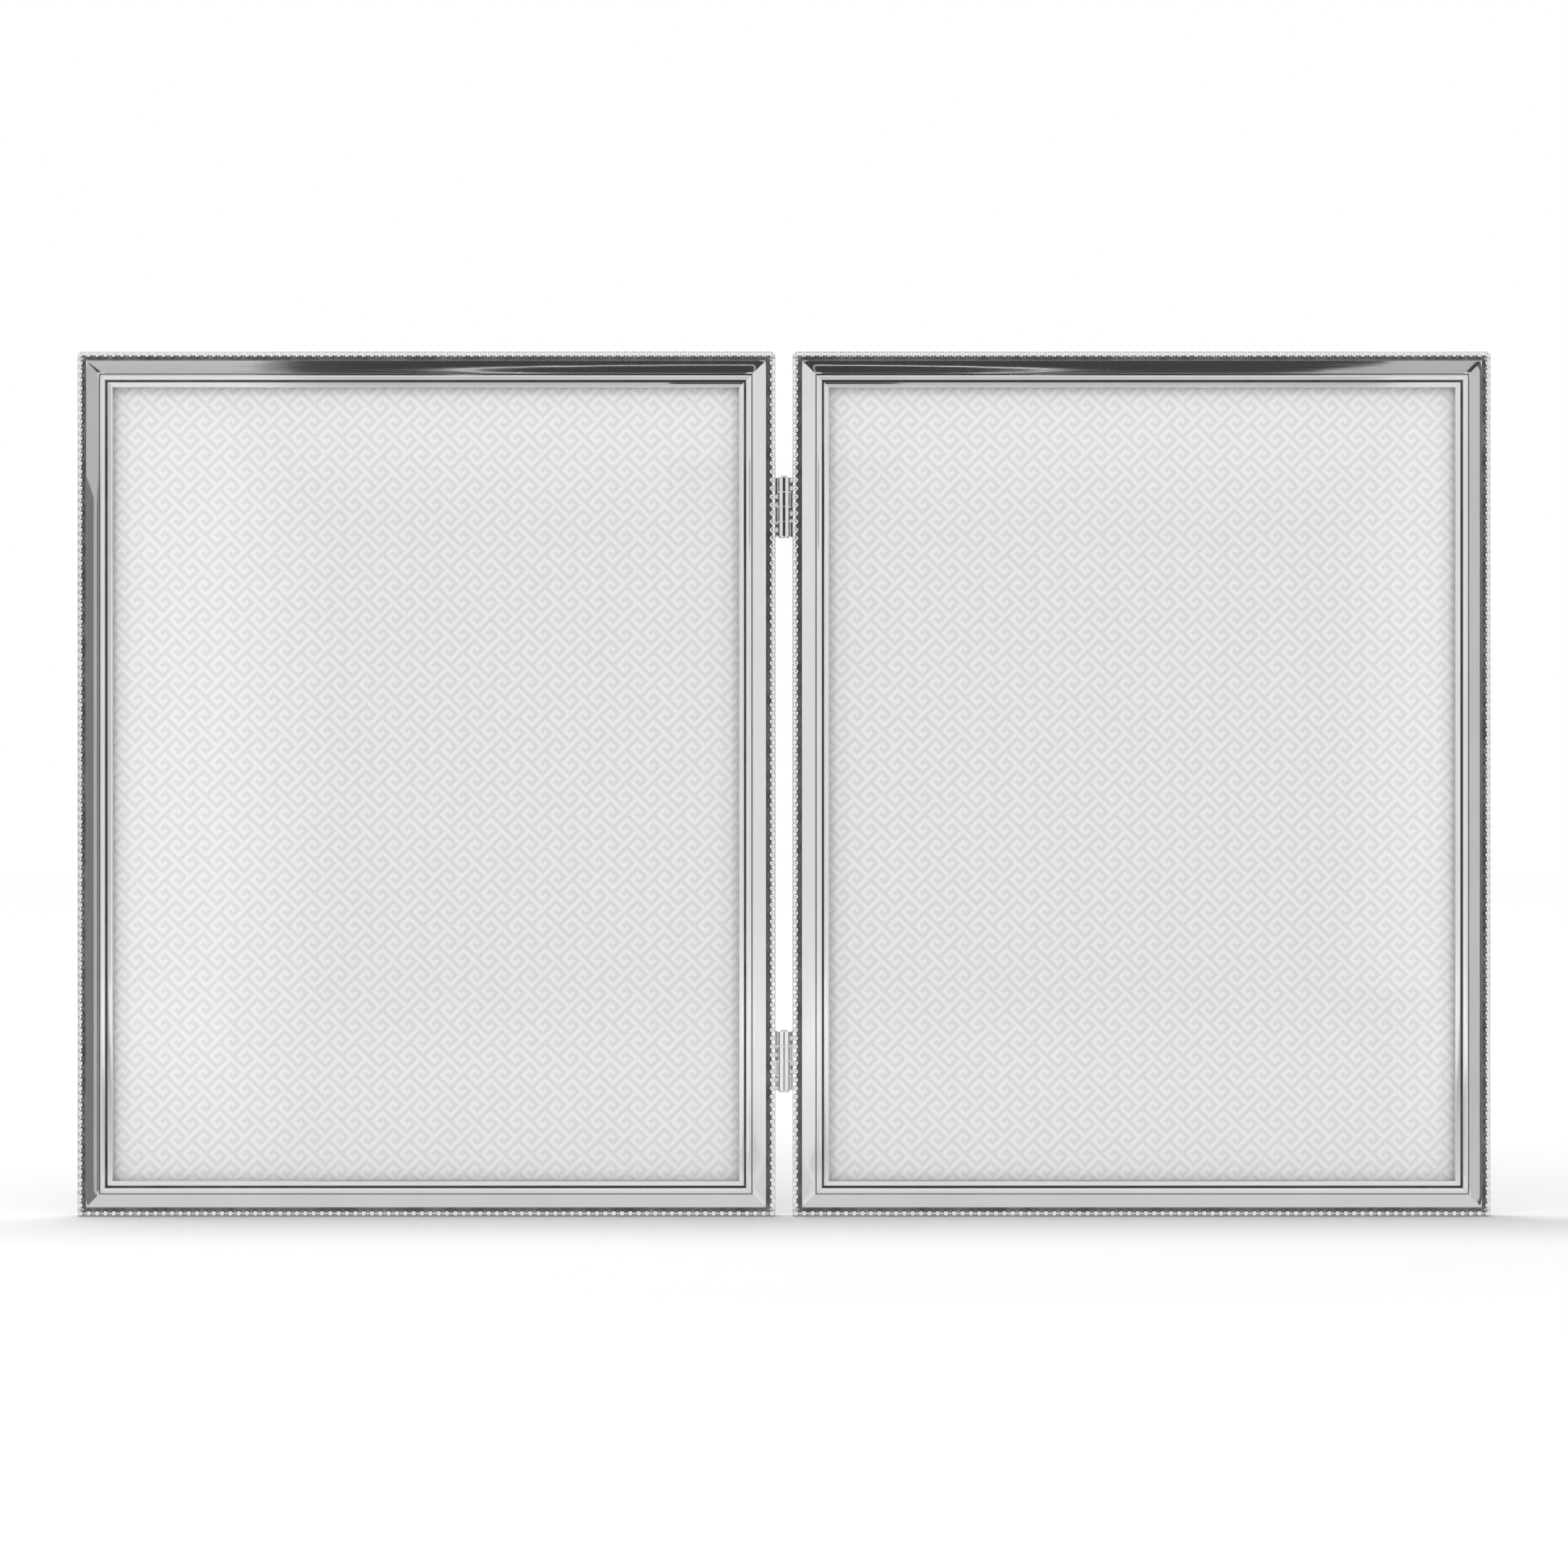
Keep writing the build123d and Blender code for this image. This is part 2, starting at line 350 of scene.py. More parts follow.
def insertMaterial():
    # white card printed all over with a slanting key fret
    material, tree, shader = newMaterial("fretPaper")
    stroke = insertPrint["stroke"]
    place = objectPlace(tree)
    split = addNode(tree, "ShaderNodeSeparateXYZ", {0: place}).outputs
    flat = addNode(tree, "ShaderNodeCombineXYZ", {"X": split["X"], "Y": split["Z"]}).outputs[0]
    group = strokeGroup()
    nearest = None
    for i, j, halfI, halfJ in insertPrint["strokes"]:
        middle = ((i + j) * stroke / math.sqrt(2), (j - i) * stroke / math.sqrt(2), 0)
        box = addNode(tree, "ShaderNodeGroup", node_tree=group)
        tree.links.new(flat, box.inputs["Place"])
        box.inputs["Middle"].default_value = middle
        box.inputs["HalfSize"].default_value = (halfI * stroke, halfJ * stroke, 0)
        distance = box.outputs["Distance"]
        if nearest:
            distance = addNode(tree, "ShaderNodeMath", {0: nearest, 1: distance},
                               operation="MINIMUM").outputs[0]
        nearest = distance
    soft = insertPrint["soft"] / 2 * stroke
    ink = mapTo(tree, nearest, 0, 1, -soft, soft)
    fibre = noise(tree, place, insertPrint["fibre"], 4, 0.65)
    bump = addNode(tree, "ShaderNodeBump", {"Height": fibre, "Strength": insertPrint["fibreShows"],
                                            "Distance": insertPrint["fibreHeight"]})
    tree.links.new(mixColours(tree, ink, insertPrint["light"], insertPrint["dark"]),
                   shader.inputs["Base Color"])
    tree.links.new(mapTo(tree, fibre, insertPrint["roughLow"], insertPrint["roughHigh"]),
                   shader.inputs["Roughness"])
    tree.links.new(bump.outputs["Normal"], shader.inputs["Normal"])
    shader.inputs["Specular IOR Level"].default_value = insertPrint["gloss"]
    return material


boardFinish = {"light": (0.33, 0.22, 0.125, 1), "dark": (0.2, 0.125, 0.068, 1),
               "fibre": 1.2 * mm, "fibreHeight": 0.1 * mm, "fibreShows": 0.4,
               "roughLow": 0.75, "roughHigh": 0.92}


def boardMaterial():
    # pressed fibre board
    material, tree, shader = newMaterial("fibreBoard")
    fibre = noise(tree, objectPlace(tree), boardFinish["fibre"], 6, 0.7)
    bump = addNode(tree, "ShaderNodeBump", {"Height": fibre, "Strength": boardFinish["fibreShows"],
                                            "Distance": boardFinish["fibreHeight"]})
    tree.links.new(mixColours(tree, mapTo(tree, fibre, 0, 1), boardFinish["dark"], boardFinish["light"]),
                   shader.inputs["Base Color"])
    tree.links.new(mapTo(tree, fibre, boardFinish["roughLow"], boardFinish["roughHigh"]),
                   shader.inputs["Roughness"])
    tree.links.new(bump.outputs["Normal"], shader.inputs["Normal"])
    return material


velvetFinish = {"deep": (0.008, 0.008, 0.010, 1), "brushed": (0.028, 0.028, 0.032, 1),
                "nap": 34 * mm, "napFrom": 0.35, "napTo": 0.68,
                "pile": 0.28 * mm, "pileHeight": 0.12 * mm, "pileShows": 0.6,
                "roughLow": 0.8, "roughHigh": 1.0, "gloss": 0.15,
                "sheen": 0.35, "sheenRoughness": 0.4, "sheenTint": (0.75, 0.75, 0.8, 1)}


def velvetMaterial():
    # black velvet whose nap has been stroked this way and that
    material, tree, shader = newMaterial("blackVelvet")
    place = objectPlace(tree)
    nap = noise(tree, place, velvetFinish["nap"], 5, 0.55)
    pile = noise(tree, place, velvetFinish["pile"], 2)
    bump = addNode(tree, "ShaderNodeBump", {"Height": pile, "Strength": velvetFinish["pileShows"],
                                            "Distance": velvetFinish["pileHeight"]})
    stroked = mapTo(tree, nap, 0, 1, velvetFinish["napFrom"], velvetFinish["napTo"])
    tree.links.new(mixColours(tree, stroked, velvetFinish["deep"], velvetFinish["brushed"]),
                   shader.inputs["Base Color"])
    tree.links.new(mapTo(tree, pile, velvetFinish["roughLow"], velvetFinish["roughHigh"]),
                   shader.inputs["Roughness"])
    tree.links.new(bump.outputs["Normal"], shader.inputs["Normal"])
    shader.inputs["Specular IOR Level"].default_value = velvetFinish["gloss"]
    shader.inputs["Sheen Weight"].default_value = velvetFinish["sheen"]
    shader.inputs["Sheen Roughness"].default_value = velvetFinish["sheenRoughness"]
    shader.inputs["Sheen Tint"].default_value = velvetFinish["sheenTint"]
    return material


polished = (silverFinish["light"], silverFinish["dull"])
silverAcross = silverMaterial("drawnSilverAcross", (1 / silverFinish["stretch"], 1, 1), *polished)
silverUpright = silverMaterial("drawnSilverUpright", (1, 1, 1 / silverFinish["stretch"]), *polished)
silverBeads = silverMaterial("brightSilver", (1, 1, 1), silverFinish["beadLight"], silverFinish["beadDull"])
# silvers with painted shade for the quirk, the groove and the trough
recess = paintedShadeMaterial("paintedShadeRecess", paintedShadeTones["light"], paintedShadeTones["dark"],
                        paintedShadeTones["roughness"])
groove = paintedShadeMaterial("paintedShadeGroove", paintedShadeTones["grooveLight"], paintedShadeTones["grooveDark"],
                        paintedShadeTones["roughness"])
trough = paintedShadeMaterial("paintedShadeTrough", paintedShadeTones["troughLight"], paintedShadeTones["troughDark"],
                        paintedShadeTones["troughRoughness"])
steel = steelMaterial()
glass = glassMaterial()
paper = insertMaterial()
board = boardMaterial()
velvetCloth = velvetMaterial()
print("materials made")


# Leaves: their outer edges and the places of their four sides, read from the frame

leafSides = {"left": {"west": "outer", "east": "hinge"}, "right": {"west": "hinge", "east": "outer"}}
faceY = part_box("left_bottom_rail")[0].y    # front of the reed


def leafBox(leaf):
    sides = leafSides[leaf]
    low = Vector((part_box(f"{leaf}_{sides['west']}_rail")[0].x, faceY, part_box(f"{leaf}_bottom_rail")[0].z))
    high = Vector((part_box(f"{leaf}_{sides['east']}_rail")[1].x, faceY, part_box(f"{leaf}_top_rail")[1].z))
    return low, high


leafWidth = leafBox("left")[1].x - leafBox("left")[0].x
leafHeight = leafBox("left")[1].z - leafBox("left")[0].z


def railPlaces(leaf):
    # how the rail modelled along X with Z inwards is turned and moved to each side of a leaf
    low, high = leafBox(leaf)
    quarter = math.pi / 2
    sides = leafSides[leaf]
    return {
        "bottom": (0, (low.x, faceY, low.z)),
        "top": (math.pi, (high.x, faceY, high.z)),
        sides["west"]: (quarter, (low.x, faceY, high.z)),
        sides["east"]: (-quarter, (high.x, faceY, low.z)),
    }


def placeRound(across, upright, ending, replaced):
    # copies the two patterns to the four sides of both leaves
    for leaf in leafSides:
        for side, (turn, place) in railPlaces(leaf).items():
            pattern = across if side in ("top", "bottom") else upright
            piece = copyPiece(pattern, f"{leaf}_{side}_{ending}", turn, place)
            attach(piece, f"{leaf}_leaf")
            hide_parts(f"{leaf}_{side}_{replaced}")
    dropPiece(across)
    dropPiece(upright)


# Rails: one section, drawn in millimetres from the outer edge inwards and from the front backwards

railSection = {
    "rim": 4.4, "depth": 10.0, "width": 11.15,
    "seatDepth": 4.2, "troughStart": 1.9, "troughEnd": 2.74, "troughDepth": 4.26,
    "bandStart": 2.87, "bandOuter": 2.66, "bandInner": 0.5, "bandCrown": 0.17, "bandSteps": 12,
    "quirkStart": 7.0, "quirkDepth": 0.75,
    "reedStart": 7.3, "reedOuter": 0.22, "reedRidge": 7.95, "reedInner": 0.42,
    "reedCrown": 0.02, "reedSteps": 4,
    "grooveStart": 8.9, "grooveDepth": 1.44, "grooveEndDepth": 1.49,    # its floor leans to the window
    "lipStart": 9.6, "lipFront": 1.2, "lipEdge": 1.62, "lipBack": 3.4, "lipCrown": 0.03, "lipSteps": 6,
    "sightRound": (0.25, 0.33), "sightCrown": 0.055, "sightSteps": 7,
    "edgeRound": 0.05, "roundAbove": 35, "smoothBelow": 10,             # angles in degrees
    "cornerRadius": 1.1, "cornerCuts": (15, 30, 45), "mitreGap": 0.02, "overrun": 1.0,
    "seamLoops": (1.2, 2.6), "seamRise": 0.12, "seamInset": 0.2,        # a soldered mitre stands up a little
    "seamTouch": 0.005, "slack": 0.02,                                  # for picking by place
}


def archPoints(start, end, rise, steps):
    # a round arch between two points of the section, bulging towards the front
    start, end = Vector(start), Vector(end)
    chord = end - start
    half = chord.length / 2
    radius = (half * half + rise * rise) / (2 * rise)
    out = Vector((chord.y, -chord.x)).normalized()
    middle = (start + end) / 2 - out * (radius - rise)
    reach = math.asin(min(1, half / radius))
    points = []
    for step in range(1, steps):
        angle = reach * (2 * step / steps - 1)
        points.append(middle + radius * (out * math.cos(angle) + chord.normalized() * math.sin(angle)))
    return [tuple(point) for point in points]


def sectionPoints():
    profile = railSection
    bandOuter = (profile["bandStart"], profile["bandOuter"])
    bandInner = (profile["quirkStart"], profile["bandInner"])
    quirkMiddle = (profile["quirkStart"] + profile["reedStart"]) / 2
    reedOuter = (profile["reedStart"], profile["reedOuter"])
    reedRidge = (profile["reedRidge"], 0)
    reedInner = (profile["grooveStart"], profile["reedInner"])
    lipStart = (profile["lipStart"], profile["lipFront"])
    sightWidth, sightDepth = profile["sightRound"]
    sightStart = (profile["width"] - sightWidth, profile["lipEdge"])
    sightEnd = (profile["width"], profile["lipEdge"] + sightDepth)
    return [
        (0, profile["depth"]), (0, profile["seatDepth"]), (profile["troughStart"], profile["seatDepth"]),
        (profile["troughEnd"], profile["troughDepth"]),
        bandOuter, *archPoints(bandOuter, bandInner, profile["bandCrown"], profile["bandSteps"]), bandInner,
        (quirkMiddle, profile["quirkDepth"]),
        reedOuter, *archPoints(reedOuter, reedRidge, profile["reedCrown"], profile["reedSteps"]),
        reedRidge, *archPoints(reedRidge, reedInner, profile["reedCrown"], profile["reedSteps"]),
        reedInner, (profile["grooveStart"], profile["grooveDepth"]),
        (profile["lipStart"], profile["grooveEndDepth"]),
        lipStart, *archPoints(lipStart, sightStart, profile["lipCrown"], profile["lipSteps"]),
        sightStart, *archPoints(sightStart, sightEnd, profile["sightCrown"], profile["sightSteps"]),
        sightEnd, (profile["width"], profile["lipBack"]),
        (profile["rim"], profile["lipBack"]), (profile["rim"], profile["depth"]),
    ]


def raiseSeam(rail, end, way):
    # loops beside the mitre, then the band's end lifted as solder leaves it
    profile = railSection
    for loop in profile["seamLoops"]:
        bpy.ops.mesh.select_all(action="SELECT")
        bpy.ops.mesh.bisect(plane_co=(end + way * loop * mm, 0, 0), plane_no=(-way, 0, 1))
    bpy.ops.mesh.select_mode(type="VERT")
    bpy.ops.mesh.select_all(action="DESELECT")
    seamFrom = profile["bandStart"] + profile["seamInset"]
    seamTo = profile["quirkStart"] - profile["seamInset"]
    shape = bmesh.from_edit_mesh(rail.data)
    for vert in shape.verts:
        onMitre = abs(vert.co.x - end - way * vert.co.z) < profile["seamTouch"] * mm
        onBand = seamFrom < vert.co.z / mm < seamTo and vert.co.y / mm < profile["bandOuter"]
        vert.select_set(onMitre and onBand)
    bmesh.update_edit_mesh(rail.data)
    bpy.ops.transform.translate(value=(0, -profile["seamRise"] * mm, 0))


# faces in the rail's hollows, which get painted shade
def inQuirk(place, normal):
    profile = railSection
    slack = profile["slack"]
    inwards, depth = place.z / mm, place.y / mm
    return (abs(normal.x) < mostly and depth < profile["quirkDepth"] + slack
            and profile["quirkStart"] + slack < inwards < profile["reedStart"] - slack)


def inGroove(place, normal):
    profile = railSection
    slack = profile["slack"]
    inwards, depth = place.z / mm, place.y / mm
    return (normal.y < -mostly and profile["grooveDepth"] - slack < depth < profile["grooveEndDepth"] + slack
            and profile["grooveStart"] + slack < inwards < profile["lipStart"] - slack)


def inTrough(place, normal):
    profile = railSection
    slack = profile["slack"]
    inwards, depth = place.z / mm, place.y / mm
    return (abs(normal.x) < mostly and normal.y < mostly
            and profile["bandOuter"] + slack < depth < profile["troughDepth"] + slack
            and profile["troughStart"] - slack < inwards < profile["bandStart"])


def modelRail(name, length, silver):
    profile = railSection
    overrun = profile["overrun"] * mm
    points = [Vector((-overrun, depth * mm, inwards * mm)) for inwards, depth in sectionPoints()]
    rail = extrudeSection(name, points, (length + 2 * overrun, 0, 0))
    applyModifier(rail, "BEVEL", width=profile["edgeRound"] * mm, segments=2, limit_method="ANGLE",
                  angle_limit=math.radians(profile["roundAbove"]))
    # mitred ends, then the outer corner rounded by tangent cuts
    startEdit(rail)
    gap = profile["mitreGap"] * mm
    radius = profile["cornerRadius"] * mm
    for end, way in ((0, 1), (length, -1)):
        cutAway((end + way * gap, 0, 0), (-way, 0, 1))
        for cut in profile["cornerCuts"]:
            outward = Vector((-way * math.sin(math.radians(cut)), 0, -math.cos(math.radians(cut))))
            cutAway(Vector((end + way * radius, 0, radius)) + outward * radius, outward)
        raiseSeam(rail, end + way * gap, way)
    rail.data.materials.append(silver)
    # painted shade on the quirk, groove and trough faces
    hollows = ((recess, inQuirk), (groove, inGroove), (trough, inTrough))
    for slot, (paintedShade, isInside) in enumerate(hollows, 1):
        rail.data.materials.append(paintedShade)
        selectFaces(rail, isInside)
        rail.active_material_index = slot
        bpy.ops.object.material_slot_assign()
    endEdit()
    smoothByAngle(rail, profile["smoothBelow"])
    return rail


placeRound(modelRail("railAcross", leafWidth, silverAcross),
           modelRail("railUpright", leafHeight, silverUpright), "moulding", "rail")
print("mouldings made")


# Beaded borders: one bead, arrayed along a low foot

beadRow = {
    "middle": 1.05, "spacing": 2.53,    # mm
    # radius and height, ring by ring
    "rings": ((1.0, 0.3), (1.0, 0.65), (0.9, 1.1), (0.72, 1.38), (0.48, 1.54), (0.28, 1.59)),
    "around": 10, "smoothBelow": 50,
    "foot": 0.4, "footHalf": 0.86, "footRound": 0.1, "footLean": 0.25,
    "footCorner": 0.688, "cornerSteps": 4, "footSmoothBelow": 25,
    "paintedShadeFrom": 1.2,    # from here inwards the foot between the beads gets painted shade
    "slack": 0.01,      # for picking edges by place
}


def modelBead(start):
    # a pressed bead: a disc drawn out ring by ring to a flattish crown
    ledge, middle = railSection["seatDepth"], beadRow["middle"]
    radius, height = beadRow["rings"][0]
    clearSelection()
    bpy.ops.mesh.primitive_circle_add(
        vertices=beadRow["around"], radius=radius * mm, fill_type="NGON",
        location=(start * mm, (ledge - height) * mm, middle * mm), rotation=(math.pi / 2, 0, 0))
    bead = bpy.context.object
    bpy.ops.object.transform_apply(location=True, rotation=True, scale=True)
    startEdit(bead)
    bpy.ops.mesh.select_mode(type="FACE")
    for newRadius, newHeight in beadRow["rings"][1:]:
        bpy.ops.mesh.extrude_region_move(TRANSFORM_OT_translate={"value": (0, (height - newHeight) * mm, 0)})
        bpy.ops.transform.resize(value=(newRadius / radius,) * 3,
                                 center_override=(start * mm, (ledge - newHeight) * mm, middle * mm))
        radius, height = newRadius, newHeight
    bpy.ops.mesh.poke()
    bpy.ops.mesh.select_all(action="SELECT")
    bpy.ops.mesh.normals_make_consistent(inside=False)
    endEdit()
    bead.data.materials.append(silverBeads)
    smoothByAngle(bead, beadRow["smoothBelow"])
    return bead


def modelFoot(lengthMm, margin, hasCorners):
    # the strip under the beads, its outer side leaning back
    ledge, middle, half = railSection["seatDepth"], beadRow["middle"], beadRow["footHalf"]
    foot = addBox(Vector((margin, ledge - beadRow["foot"], middle - half)) * mm,
                  Vector((lengthMm - margin, ledge, middle + half)) * mm)
    startEdit(foot)
    back = (ledge - beadRow["slack"]) * mm
    halfway = middle * mm
    selectEdges(foot, lambda one, two: max(one.y, two.y) < back and max(one.z, two.z) < halfway)
    bpy.ops.transform.translate(value=(0, beadRow["footLean"] * mm, 0))
    if hasCorners:
        # the two outer edges that run from front to back
        short = (margin + beadRow["slack"]) * mm
        selectEdges(foot, lambda one, two: abs(one.x - two.x) < short and abs(one.z - two.z) < short
                    and min(one.z, two.z) < halfway)
        bpy.ops.mesh.bevel(offset=beadRow["footCorner"] * mm, segments=beadRow["cornerSteps"])
    selectEdges(foot, lambda one, two: max(one.y, two.y) < back)
    bpy.ops.mesh.bevel(offset=beadRow["footRound"] * mm, segments=2)
    # the foot's inner part, between the beads, gets painted shade
    paintedShadeFrom = beadRow["paintedShadeFrom"] * mm
    bpy.ops.mesh.select_all(action="SELECT")
    bpy.ops.mesh.bisect(plane_co=(0, 0, paintedShadeFrom), plane_no=(0, 0, 1))
    foot.data.materials.append(silverBeads)
    foot.data.materials.append(recess)
    selectFaces(foot, lambda place, normal: normal.y < -mostly and place.z > paintedShadeFrom)
    foot.active_material_index = 1
    bpy.ops.object.material_slot_assign()
    endEdit()
    smoothByAngle(foot, beadRow["footSmoothBelow"])
    return foot


def modelBeadStrip(name, length, hasCorners):
    lengthMm = length / mm
    middle = beadRow["middle"]
    spaces = round((lengthMm - 2 * middle) / beadRow["spacing"])
    pitch = (lengthMm - 2 * middle) / spaces
    first = middle if hasCorners else middle + pitch
    count = spaces + 1 if hasCorners else spaces - 1
    bead = modelBead(first)
    applyModifier(bead, "ARRAY", count=count, use_relative_offset=False, use_constant_offset=True,
                  constant_offset_displace=(pitch * mm, 0, 0))
    margin = middle - beadRow["footHalf"] if hasCorners else middle + pitch / 2
    strip = modelFoot(lengthMm, margin, hasCorners)
    pickOnly(strip)
    bead.select_set(True)
    bpy.ops.object.join()
    strip.name = name
    return strip


placeRound(modelBeadStrip("beadsAcross", leafWidth, True),
           modelBeadStrip("beadsUpright", leafHeight, False), "beading", "beads")
print("beaded borders made")


# Velvet: a cloth stretched over the rear of each back board, its edge rolled round

velvetSheet = {"flat": (0.2032, 0.254), "edgeRoll": 0.45 * mm, "rollSteps": 3,
               "smoothBelow": 40, "slack": 0.1 * mm}


def modelVelvet(leaf):
    low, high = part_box(f"{leaf}_velvet")
    velvet = addBox(low, high)
    velvet.name = velvet.data.name = f"{leaf}_velvet_back"
    startEdit(velvet)
    selectEdges(velvet, lambda one, two: min(one.y, two.y) > high.y - velvetSheet["slack"])
    bpy.ops.mesh.bevel(offset=velvetSheet["edgeRoll"], segments=velvetSheet["rollSteps"])
    endEdit()
    smoothByAngle(velvet, velvetSheet["smoothBelow"])
    velvet.data.materials.append(velvetCloth)
    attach(velvet, f"{leaf}_leaf")
    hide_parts(f"{leaf}_velvet")


for leaf in leafSides:
    modelVelvet(leaf)
print("velvet made")


# Glass: a pane with its cut edges ground off, a hair clear of the lip and of the paper

glassPane = {"clear": 0.02 * mm, "arris": 0.2 * mm}


def modelGlass(leaf):
    low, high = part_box(f"{leaf}_glass")
    clear = Vector((0, glassPane["clear"], 0))
    pane = addBox(low + clear, high - clear)
    pane.name = pane.data.name = f"{leaf}_glass_pane"
    startEdit(pane)
    bpy.ops.mesh.bevel(offset=glassPane["arris"], segments=1)
    endEdit()
    pane.data.materials.append(glass)
    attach(pane, f"{leaf}_leaf")
    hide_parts(f"{leaf}_glass")


for leaf in leafSides:
    modelGlass(leaf)
print("glass made")


# Hinges: strips rolled round a pin, each cut away where the other's knuckles go

hingeStrip = {
    "knuckles": 4, "gap": 0.16, "radius": 1.9, "bore": 1.04,            # mm
    "plateOuter": 2.6, "plateInner": 2.0, "plateFront": 2.7,            # the flat part, from the pin's axis
    "rollStart": 180, "rollEnd": 493, "rollSteps": 30,                  # degrees round the pin
    "cutterHalf": 4.0, "cutterReach": 3.0, "overrun": 1.0,              # the cutting block
    "edgeRound": 0.1, "roundAbove": 40, "smoothBelow": 20,
}
hingePin = {"sides": 28, "headRadius": 1.6, "headHeight": 0.6, "endRound": 0.35, "roundSteps": 4,    # mm
            "smoothBelow": 35, "slack": 0.01}


def stripPoints(plateBack):
    # the left strip's section from the pin's axis: flat outside, round the pin, and back along the inside
    start, steps = hingeStrip["rollStart"], hingeStrip["rollSteps"]
    outer, inner, front = hingeStrip["plateOuter"], hingeStrip["plateInner"], hingeStrip["plateFront"]
    turns = [start + (hingeStrip["rollEnd"] - start) * step / steps for step in range(steps + 1)]

    def onCircle(radius, turn):
        return radius * math.cos(math.radians(turn)), radius * math.sin(math.radians(turn))

    return [
        (-outer, plateBack), (-outer, front),
        *[onCircle(hingeStrip["radius"], turn) for turn in turns],
        *[onCircle(hingeStrip["bore"], turn) for turn in reversed(turns)],
        (-inner, front), (-inner, plateBack),
    ]


def cutKnuckles(strip, own, axis, length):
    # takes off everything in front of the flat part that isn't one of the strip's own knuckles
    pitch = length / hingeStrip["knuckles"]
    gap, overrun = hingeStrip["gap"] * mm, hingeStrip["overrun"] * mm
    edges = [-overrun]
    for knuckle in own:
        edges += [knuckle * pitch + gap / 2, (knuckle + 1) * pitch - gap / 2]
    edges.append(length + overrun)
    half = hingeStrip["cutterHalf"] * mm
    front, back = axis.y - hingeStrip["cutterReach"] * mm, axis.y + hingeStrip["plateFront"] * mm
    for low, high in zip(edges[0::2], edges[1::2]):
        cutter = addBox(Vector((axis.x - half, front, axis.z + low)),
                        Vector((axis.x + half, back, axis.z + high)))
        applyModifier(strip, "BOOLEAN", operation="DIFFERENCE", solver="EXACT", object=cutter)
        dropPiece(cutter)


def modelStrip(hinge, leaf):
    plateLow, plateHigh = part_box(f"{hinge}_hinge_{leaf}_plate")
    pinLow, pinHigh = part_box(f"{hinge}_hinge_pin")
    axis = (pinLow + pinHigh) / 2
    axis.z = plateLow.z
    side = 1 if leaf == "left" else -1
    points = [axis + Vector((side * x * mm, y * mm, 0)) for x, y in stripPoints((plateHigh.y - axis.y) / mm)]
    length = plateHigh.z - plateLow.z
    strip = extrudeSection(f"{hinge}_{leaf}_hinge_strip", points, (0, 0, length))
    own = range(0 if leaf == "left" else 1, hingeStrip["knuckles"], 2)
    cutKnuckles(strip, own, axis, length)
    applyModifier(strip, "BEVEL", width=hingeStrip["edgeRound"] * mm, segments=2, limit_method="ANGLE",
                  angle_limit=math.radians(hingeStrip["roundAbove"]))
    strip.data.materials.append(silverUpright)
    smoothByAngle(strip, hingeStrip["smoothBelow"])
    strip.visible_glossy = False    # the bands beside it show no mirrored hinge
    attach(strip, f"{leaf}_leaf")
    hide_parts(f"{hinge}_hinge_{leaf}_plate")


def modelPin(hinge):
    low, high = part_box(f"{hinge}_hinge_pin")
    middle, radius = (low + high) / 2, (high.x - low.x) / 2
    clearSelection()
    bpy.ops.mesh.primitive_cylinder_add(vertices=hingePin["sides"], radius=radius, depth=high.z - low.z,
                                        location=middle)
    pin = bpy.context.object
    pin.name = pin.data.name = f"{hinge}_hinge_rod"
    bpy.ops.object.transform_apply(location=True, rotation=True, scale=True)
    startEdit(pin)
    neck = low.z + hingePin["headHeight"] * mm
    bpy.ops.mesh.bisect(plane_co=(0, 0, neck), plane_no=(0, 0, 1))
    selectFaces(pin, lambda place, normal: place.z < neck)
    wider = hingePin["headRadius"] * mm / radius
    bpy.ops.transform.resize(value=(wider, wider, 1), center_override=middle)
    slack = hingePin["slack"] * mm
    selectEdges(pin, lambda one, two: abs(one.z - two.z) < slack and abs(one.z - neck) > slack)
    bpy.ops.mesh.bevel(offset=hingePin["endRound"] * mm, segments=hingePin["roundSteps"])
    endEdit()
    pin.data.materials.append(silverUpright)
    smoothByAngle(pin, hingePin["smoothBelow"])
    pin.visible_glossy = False
    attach(pin, "left_leaf")
    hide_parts(f"{hinge}_hinge_pin")


for hinge in ("upper", "lower"):
    modelStrip(hinge, "left")
    modelStrip(hinge, "right")
    modelPin(hinge)
print("hinges made")


# Pieces kept from the frame: softened edges and their finishes

keptPieces = {    # finish, and how far an edge is rounded in mm
    "insert": (paper, 0), "back_board": (board, 0),
    "button": (steel, 0.12), "button_studs": (steel, 0.15),
}
softEdge = {"weld": 0.001 * mm, "steps": 2, "roundAbove": 35}


def dressNode(node, material, edge):
    node.data.materials.clear()
    node.data.materials.append(material)
    if edge:
        weld = node.modifiers.new("Weld", "WELD")
        weld.merge_threshold = softEdge["weld"]
        bevel = node.modifiers.new("Bevel", "BEVEL")
        bevel.width = edge * mm
        bevel.segments = softEdge["steps"]
        bevel.limit_method = "ANGLE"
        bevel.angle_limit = math.radians(softEdge["roundAbove"])
        bevel.harden_normals = True


for name, node in nodes.items():
    for ending, (material, edge) in keptPieces.items():
        if name.endswith("_" + ending):
            dressNode(node, material, edge)
print("frame pieces dressed")


# Stage: floor, lamps, cards that the silver mirrors, and the camera

